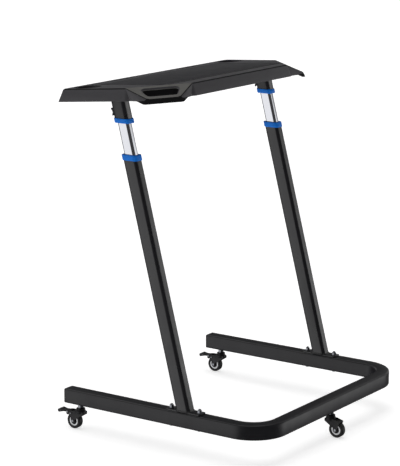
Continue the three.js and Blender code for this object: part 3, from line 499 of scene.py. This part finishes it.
smallPieces = [
    # node, body, slot, edge
    *[(f"end_cap_{s}", "base", "nylon_black", 0.6) for s in sides],
    *[(f"foot_bolt_{s}_{e}", "base", "zinc", 0.5) for s in sides for e in ends],
    *[(f"foot_nut_{s}_{e}", "base", "zinc", 0.4) for s in sides for e in ends],
    *[(f"lock_screw_{s}", "base", "nylon_black", 0.4) for s in sides],
    *[(f"upper_sleeve_{s}", "top", "frame_black", 0.4) for s in sides],
    *[(f"wing_screw_{s}", f"wing_screw_{s}", "nylon_black", 0.6) for s in sides],
    *[(f"guide_shoe_{s}", "top", "nylon_black", 0.4) for s in sides],
    *[(f"tray_screw_{s}_{e}", "top", "zinc", 0.3) for s in sides for e in ends],
    ("cross_member", "top", "frame_black", 0.3),
]


def finishSolid(node, body, slot, edge):
    piece = copyNode(node)
    softEdges(piece, edge)
    keep(smooth(piece), body, slot, node)


for row in smallPieces:
    finishSolid(*row)
print("small pieces finished:", len(smallPieces))

# The tray

tray = dict(tilt=4.3, middle=533.5, level=1085, edge=0.9, fold=1.5, foldSteps=2, matEdge=0.5,
            rimLow=-3.2, rampTop=-1, lipTop=-31.5, gripX=355, gripY=-131, gripReach=80)
# least and most upward share in the normals of each form's faces, then the most that a flank's
# has upwards and that a ramp's has towards the rider
looksUp = dict(rim=(0.5, 0.8), lip=(-0.2, 0.6), wall=(-0.25, 0.25), ramp=(0.85, 0.93))
flankLooksUp, rampLooksBack = 0.8, -0.2


def inTray():
    # turns world places into the tray's own: x across, y along the top to the rider, z out of it
    place = Matrix.Translation((0, frontFace + tray["middle"] * mm, tray["level"] * mm))
    return (place @ Matrix.Rotation(-math.radians(tray["tilt"]), 4, "X")).inverted()


def looksLike(form, normal):
    least, most = looksUp[form]
    return least < normal.z < most


def towardsGrip(middle):
    # from a place on the tray to the line through the nearer hand hole
    grip = Vector((math.copysign(tray["gripX"] * mm, middle.x), tray["gripY"] * mm, middle.z))
    return grip - middle


def isPaintedShade(middle, normal):
    # faces darkened as painted shade: the chamfer round the top, the lips under the ramps, and the walls
    # of the hand holes
    if middle.z > tray["rimLow"] * mm:
        return looksLike("rim", normal)
    if middle.z < tray["lipTop"] * mm:
        return looksLike("lip", normal)
    inwards = towardsGrip(middle)
    isClose = inwards.length < tray["gripReach"] * mm
    return looksLike("wall", normal) and isClose and inwards.dot(normal) > 0


def isRamp(middle, normal):
    # the slopes in the front corners, round the hand holes
    return looksLike("ramp", normal) and normal.y < rampLooksBack and middle.z < tray["rampTop"] * mm


def foldsOf(piece, toTray):
    # edges where a ramp's top turns down to its flanks and lip
    turn = toTray.to_3x3()
    beside = {}
    for face in piece.data.polygons:
        for key in face.edge_keys:
            beside.setdefault(key, []).append(turn @ face.normal)
    folds = set()
    for key, normals in beside.items():
        middle = toTray @ (sum((piece.data.vertices[i].co for i in key), Vector()) / 2)
        ramps = [n for n in normals if isRamp(middle, n)]
        flanks = [n for n in normals if n.z < flankLooksUp]
        if len(ramps) == 1 and len(flanks) == 1 and towardsGrip(middle).dot(flanks[0]) < 0:
            folds.add(key)
    return folds


def modelTray():
    piece = copyNode("tray")
    toTray = inTray()
    turn = toTray.to_3x3()
    finishNames = ("grainedAbs", "paintedShadeAbs", "paintedLightAbs")
    # slot 1 is the ABS darkened as painted shade, slot 2 the ABS lightened as painted light on the ramps
    paintedShade, ramp = 1, 2
    for face in piece.data.polygons:
        placed = toTray @ face.center, turn @ face.normal
        face.material_index = paintedShade if isPaintedShade(*placed) else ramp if isRamp(*placed) else 0
    folds = foldsOf(piece, toTray)
    for finish in finishNames:
        piece.data.materials.append(materials[finish])
    # the rounding of the ramps' folds is darkened as painted shade too
    pick(piece, lambda edge: tuple(sorted(edge.vertices)) in folds, "EDGE")
    bpy.ops.mesh.bevel(offset=tray["fold"] * mm, segments=tray["foldSteps"], affect="EDGES",
                       material=paintedShade)
    leaveEdit()
    softEdges(piece, tray["edge"], "rounded", "fine")
    facesOf = [[face.index for face in piece.data.polygons if face.material_index == slot]
               for slot in range(len(finishNames))]
    keep(smooth(piece, "fine"), "top", "tray_plastic", "tray")
    for slot in (paintedShade, ramp):
        addFinish(piece, finishNames[slot], facesOf[slot])
    finishSolid("tray_mat", "top", "mat_rubber", tray["matEdge"])
    print("tray modelled, faces of each finish:", [len(faces) for faces in facesOf])


modelTray()

# Castors: modelled once over the origin, trailing towards +Y, then copied to each stem

castor = dict(trail=23, rearSetback=693, frontSetback=21.5)
wheel = dict(radius=25, width=18, tread=8.5, shoulder=3, seatRound=0.5, steps=72, roundSteps=5,
             gap=0.3, ringIn=11, ringWidth=15, moulded=0.8, web=5, webLap=0.6, shadeOver=0.3,
             core=7.5, coreWidth=19, coreRound=0.4)
axle = dict(radius=3, head=4.2, headHigh=1.6, out=0.3, edge=0.7, roundSteps=32)
axleY, axleZ = castor["trail"] * mm, wheel["radius"] * mm


def spinRing(name, low, high, width, radii):
    # a ring round the axle, from a section with its own corner radii (outer, inner)
    middle = axleZ - (low + high) / 2 * mm
    piece = startPlane(name, width * mm, (high - low) * mm, (0, axleY, middle), (math.pi / 2, 0, 0))
    for radius, outer in ((radii[0], True), (radii[1], False)):
        if radius:
            pick(piece, lambda v: (v.co.z < middle) == outer, "VERT")
            roundCorners(piece, radius, wheel["roundSteps"])
    editAll(piece)
    bpy.ops.mesh.spin(steps=wheel["steps"], angle=2 * math.pi, center=(0, axleY, axleZ),
                      axis=(1, 0, 0), use_auto_merge=True)
    leaveEdit()
    mendNormals(piece)
    pick(piece, lambda face: len(face.vertices) > 4)  # the section that the spin started from
    bpy.ops.mesh.delete(type="FACE")
    leaveEdit()
    mendNormals(piece)
    return piece


def modelWheel():
    seat = wheel["radius"] - wheel["tread"]
    bore = axle["radius"] + wheel["gap"]
    moulded = wheel["moulded"]
    tyre = spinRing("tyre", seat, wheel["radius"], wheel["width"], (wheel["shoulder"], wheel["seatRound"]))
    ring = spinRing("ring", wheel["ringIn"], seat - wheel["gap"], wheel["ringWidth"], (moulded, moulded))
    web = spinRing("web", bore, wheel["ringIn"] + wheel["webLap"], wheel["web"], (0, 0))
    core = spinRing("core", bore, wheel["core"], wheel["coreWidth"], (moulded, wheel["coreRound"]))
    return tyre, join("centre", [ring, web, core])


fork = dict(gap=20, cheek=2.6, nose=15, boss=7, bossSteps=18, shoulderRise=5, waist=(9, 13),
            cheekEdge=0.45, panelInset=2.2, panelDeep=0.6, disc=16, discLow=52, discHigh=61,
            discEdge=0.9, roundSteps=64, headRoom=8.8, stemHole=5.3, drill=200)
hood = dict(gap=2.5, thick=2.6, start=60, end=135, steps=24, shortEnd=75, shortSteps=10)
brake = dict(pivot=(44, 52), eye=4.5, eyeSteps=6, pin=2, head=3.2, rivet=(31.5, 49), rivetHead=2.6)
wheelRoom = (wheel["radius"] + hood["gap"]) * mm
hoodOut = wheelRoom + hood["thick"] * mm


def cheekOutline(braked):
    # one side of the fork, from its nose round the axle's boss and up to its back
    nose, boss, eye = fork["nose"] * mm, fork["boss"] * mm, brake["eye"] * mm
    low, high = ((fork[level] - hood["thick"]) * mm for level in ("discLow", "discHigh"))
    waistY, waistZ = (value * mm for value in fork["waist"])
    if braked:
        pivotY, pivotZ = (value * mm for value in brake["pivot"])
        back = [(pivotY + eye, pivotZ - eye / 2)]
        back += arcPoints((pivotY, pivotZ), eye, 0, 90, brake["eyeSteps"])
    else:
        back = arcPoints((axleY, axleZ), hoodOut, hood["start"], hood["shortEnd"], hood["shortSteps"])
    return [
        (-nose, low), (axleY - boss, axleZ + fork["shoulderRise"] * mm),
        *arcPoints((axleY, axleZ), boss, 180, 360, fork["bossSteps"]),
        (axleY + waistY, axleZ + waistZ), *back, (fork["disc"] * mm, high), (-nose, high),
    ]


def modelCheek(sign, outline):
    # one side of the fork, with a sunk panel on its outside
    inside, thick = fork["gap"] / 2 * mm, fork["cheek"] * mm
    outside = sign * (inside + thick)
    cheek = startOutline("cheek", outline, thick, sign * (inside + thick / 2))
    pick(cheek, lambda face: abs(face.center.x - outside) < tolerance["plane"] * mm)
    bpy.ops.mesh.inset(thickness=fork["panelInset"] * mm, depth=-fork["panelDeep"] * mm)
    leaveEdit()
    softEdges(cheek, fork["cheekEdge"], "plain", "fine")
    return cheek


def modelFork(braked):
    low, gap = fork["discLow"] * mm, fork["gap"] * mm
    outline = cheekOutline(braked)
    cheeks = [modelCheek(sign, outline) for sign in (-1, 1)]
    bow = arcPoints((axleY, axleZ), hoodOut, hood["start"], hood["end"], hood["steps"])
    bow += arcPoints((axleY, axleZ), wheelRoom, hood["end"], hood["start"], hood["steps"])
    arch = startOutline("arch", bow, gap + fork["cheek"] * mm)
    cut(arch, cylinder("headRoom", fork["headRoom"] * mm, low, (0, 0, low / 2)))
    disc = standingDisc("disc", fork["disc"], fork["discLow"], fork["discHigh"], fork["roundSteps"])
    cut(disc, cylinder("stemRoom", fork["stemHole"] * mm, fork["drill"] * mm, (0, 0, low)))
    cut(disc, cylinder("wheelRoom", wheelRoom, gap, (0, axleY, axleZ), "X", fork["roundSteps"]))
    softEdges(disc, fork["discEdge"], "rounded", "drilled")
    return join("fork", [*cheeks, arch, disc])


def modelAxle(place, head, pin=None):
    # a domed head on each cheek, with the riveted pin between them where there is one
    y, z = place
    half = (fork["gap"] / 2 + fork["cheek"] + axle["out"]) * mm
    high = axle["headHigh"] * mm
    parts = []
    if pin:
        parts.append(cylinder("shaft", pin * mm, 2 * half, (0, y * mm, z * mm), "X", axle["roundSteps"]))
    for sign in (-1, 1):
        middle = (sign * (half + high / 2), y * mm, z * mm)
        cap = cylinder("cap", head * mm, high, middle, "X", axle["roundSteps"])
        softEdges(cap, axle["edge"], "domed", "square")
        parts.append(cap)
    return join("pin", parts)


race = dict(levels=(61.3, 64.3, 65.3, 68.3), radii=(14, 12.8, 14), edge=0.6, roundSteps=56)
stem = dict(
    # radius, bottom and top, number of sides
    head=(8, 48.7, 51.7, 40), shank=(5, 51, 98, 32), hexagon=(10, 68.6, 81.7, 6),
    headEdge=0.8, hexagonEdge=0.7,
)


def modelRace():
    # the swivel race: two pressed cups with a groove between them
    levels = race["levels"]
    rings = []
    for low, high, radius in zip(levels, levels[1:], race["radii"]):
        ring = standingDisc("ring", radius, low, high, race["roundSteps"])
        softEdges(ring, race["edge"], "rounded", "square")
        rings.append(ring)
    return join("race", rings)


def modelStem():
    # pressed head under the fork, shank, and hexagon under the rail
    head, shank, hexagon = (standingDisc(part, *stem[part]) for part in ("head", "shank", "hexagon"))
    softEdges(head, stem["headEdge"], "rounded", "square")
    softEdges(hexagon, stem["hexagonEdge"], "rounded", "bent")
    return join("stem", [head, shank, hexagon])


pedal = dict(width=19, tipWidth=26, reach=82, rise=-1, thick=4.5, tip=5.5, tipLong=22,
             camY=46, camZ=47, cam=5.5)
pedalEdge = 0.6
pedalArcs = dict(hub=(0, 345, 23), tip=(-60, 90, 8))  # start, end, steps
pedalRibs = dict(count=5, pitch=3, radius=0.55, inset=3, sunk=0.1, roundSteps=12)


def modelPedal():
    p = {key: value * mm for key, value in pedal.items()}
    width, thick, eye = p["width"], p["thick"], brake["eye"] * mm
    pivotY, pivotZ = (value * mm for value in brake["pivot"])
    tipY, tipZ = p["reach"] - p["tip"], pivotZ + p["rise"]
    padY, padTop = tipY - p["tipLong"], tipZ + thick / 4
    hub = startOutline("hub", arcPoints((pivotY, pivotZ), eye, *pedalArcs["hub"]), width)
    cam = startOutline("cam", arcPoints((p["camY"], p["camZ"]), p["cam"], *pedalArcs["hub"]), width)
    arm = startOutline("arm", [
        (pivotY, pivotZ - thick / 2), (tipY, tipZ - thick / 2),
        (tipY, tipZ + thick / 2), (pivotY, pivotZ + eye)], width)
    pad = startOutline("pad", [
        (padY, tipZ - p["rise"] / 2), (tipY, tipZ - p["tip"]),
        *arcPoints((tipY, tipZ), p["tip"], *pedalArcs["tip"]), (padY, padTop)], p["tipWidth"])
    ribLong = p["tipWidth"] - pedalRibs["inset"] * mm
    ribs = []
    for i in range(pedalRibs["count"]):  # across the pad, up its slope
        along = pedalRibs["pitch"] * mm * (i + 1)
        z = padTop + along / p["tipLong"] * (p["tip"] - thick / 4) - pedalRibs["sunk"] * mm
        ribs.append(cylinder("rib", pedalRibs["radius"] * mm, ribLong, (0, padY + along, z), "X",
                             pedalRibs["roundSteps"]))
    for part in (hub, cam, arm, pad):
        softEdges(part, pedalEdge, "rounded", "bent")
    return join("pedal", [hub, cam, arm, pad, *ribs])


castorPlaces = {
    # x, y, whether it is turned to trail away from the rails' ends, whether it has a brake
    "rear_right": (-legSpread, frontFace + castor["rearSetback"] * mm, False, True),
    "rear_left": (legSpread, frontFace + castor["rearSetback"] * mm, False, True),
    "front": (0.0, frontFace + castor["frontSetback"] * mm, True, False),
}


def modelCastors():
    tyre, centre = modelWheel()
    forks = {braked: modelFork(braked) for braked in (True, False)}
    wheelPin = modelAxle((castor["trail"], wheel["radius"]), axle["head"], axle["radius"])
    brakePin = join("brakePin", [modelAxle(brake["pivot"], brake["head"], brake["pin"]),
                                 modelAxle(brake["rivet"], brake["rivetHead"])])
    cups, spindle, lever = modelRace(), modelStem(), modelPedal()
    # painted shade: the web and hub inside the grey ring get the black nylon, standing for the shade in
    # the wheel's recess
    shadeRadius = (wheel["ringIn"] + wheel["shadeOver"]) * mm
    wheelShadeFaces = [face.index for face in centre.data.polygons
            if math.hypot(face.center.y - axleY, face.center.z - axleZ) < shadeRadius]
    for place, (x, y, turned, braked) in castorPlaces.items():
        move = Matrix.Translation((x, y, 0))
        if turned:
            move = move @ Matrix.Rotation(math.pi, 4, "Z")
        rolls, swivels = "wheel_" + place, "castor_" + place
        made = [
            (tyre, "castor_tyre", rolls, "tyre_black"), (centre, "castor_rim", rolls, "rim_grey"),
            (forks[braked], "castor_fork", swivels, "nylon_black"),
            (wheelPin, "castor_axle", swivels, "zinc"),
            (cups, "castor_race", "base", "nylon_black"), (spindle, "castor_stem", "base", "zinc"),
        ]
        if braked:
            made += [(brakePin, "brake_pin", swivels, "zinc"),
                     (lever, "brake_pedal", "brake_" + place, "nylon_black")]
        for pattern, node, body, slot in made:
            piece = copyOf(pattern, f"{node}_{place}_finished", move)
            keep(smooth(piece), body, slot, f"{node}_{place}")
            if pattern is centre:
                # the recessed web and hub take the black nylon as painted shade
                addFinish(piece, "blackNylon", wheelShadeFaces)
    for pattern in (tyre, centre, *forks.values(), wheelPin, brakePin, cups, spindle, lever):
        bpy.data.objects.remove(pattern)
    print("castors modelled")


modelCastors()

# Floor, light and camera: lengths in metres, the camera's lens and sensor in millimetres

studio = dict(floor="#F2F2F2", floorSize=40, floorLevel=-0.0005, floorRough=0.9, floorGlow=0.7,
              backdrop="#FFFFFF", dim=0.07)
softBoxes = [
    # towards, half angle and soft rim in degrees, brightness
    ((-0.80, 0.60, -0.08), 26, 10, 1.3),
    ((0.75, -0.66, -0.1), 14.5, 6, 2.0),
    ((0.0, 0.22, 1.0), 34, 12, 1.5),
    ((0.30, 0.94, 0.25), 24, 16, 0.6),
    ((0.97, -0.05, 0.3), 24, 16, 0.6),
    ((0.68, 0.47, -0.56), 24, 12, 1.2),
]
cameraAim = dict(place=(-4.9266, -2.9217, 1.8748), pitch=79.42, yaw=-55.13, lens=174.6, sensor=36,
                 shift=-0.13625, farthest=50)


def hangSoftBoxes():
    # a dim room with a few soft boxes far away, and a plain backdrop behind the floor's edge
    world = bpy.data.worlds.new("studio")
    bpy.context.scene.world = world
    world.use_nodes = True
    sky = world.node_tree.nodes["Background"]
    direction = addNode(world, "ShaderNodeTexCoord").outputs["Generated"]
    total = None
    for towards, half, rim, bright in softBoxes:
        middle = Vector(towards).normalized()
        facing = addNode(world, "ShaderNodeVectorMath", {"operation": "DOT_PRODUCT", 1: middle},
                         {0: direction}).outputs["Value"]
        outside, inside = (math.cos(math.radians(half + turn)) for turn in (rim / 2, -rim / 2))
        shine = addNode(world, "ShaderNodeMapRange",
                        {"interpolation_type": "SMOOTHSTEP", "From Min": outside, "From Max": inside,
                         "To Max": bright}, {"Value": facing}).outputs[0]
        total = addNode(world, "ShaderNodeMath", {"operation": "ADD", 0: studio["dim"]},
                        {1: shine, **({0: total} if total else {})}).outputs[0]
    seen = addNode(world, "ShaderNodeLightPath").outputs["Is Camera Ray"]
    strength = addNode(world, "ShaderNodeMix", {"data_type": "FLOAT", 3: 1.0},
                       {0: seen, 2: total}).outputs[0]
    sky.inputs["Color"].default_value = fromHex(studio["backdrop"])
    world.node_tree.links.new(strength, sky.inputs["Strength"])


def layFloor():
    bpy.ops.object.select_all(action="DESELECT")
    bpy.ops.mesh.primitive_plane_add(size=studio["floorSize"], location=(0, 0, studio["floorLevel"]))
    floor = bpy.context.object
    floor.name = "studio_floor"
    material = bpy.data.materials.new("studioFloor")
    material.use_nodes = True
    shader = material.node_tree.nodes["Principled BSDF"]
    shader.inputs["Base Color"].default_value = fromHex(studio["floor"])
    shader.inputs["Roughness"].default_value = studio["floorRough"]
    shader.inputs["Emission Color"].default_value = fromHex(studio["floor"])
    shader.inputs["Emission Strength"].default_value = studio["floorGlow"]
    floor.data.materials.append(material)
    floor.visible_glossy = False  # the black frame mirrors the soft boxes, not the white floor


def aimCamera():
    data = bpy.data.cameras.new("camera")
    camera = bpy.data.objects.new("camera", data)
    bpy.context.scene.collection.objects.link(camera)
    x, y, z = cameraAim["place"]
    camera.location = (x, y + frontFace, z)
    camera.rotation_euler = (math.radians(cameraAim["pitch"]), 0, math.radians(cameraAim["yaw"]))
    data.sensor_fit = "HORIZONTAL"
    data.sensor_width = cameraAim["sensor"]
    data.lens = cameraAim["lens"]
    data.shift_y = cameraAim["shift"]
    data.clip_end = cameraAim["farthest"]
    bpy.context.scene.camera = camera


layFloor()
hangSoftBoxes()
aimCamera()
bpy.context.scene.view_settings.view_transform = "Standard"
print("studio set")
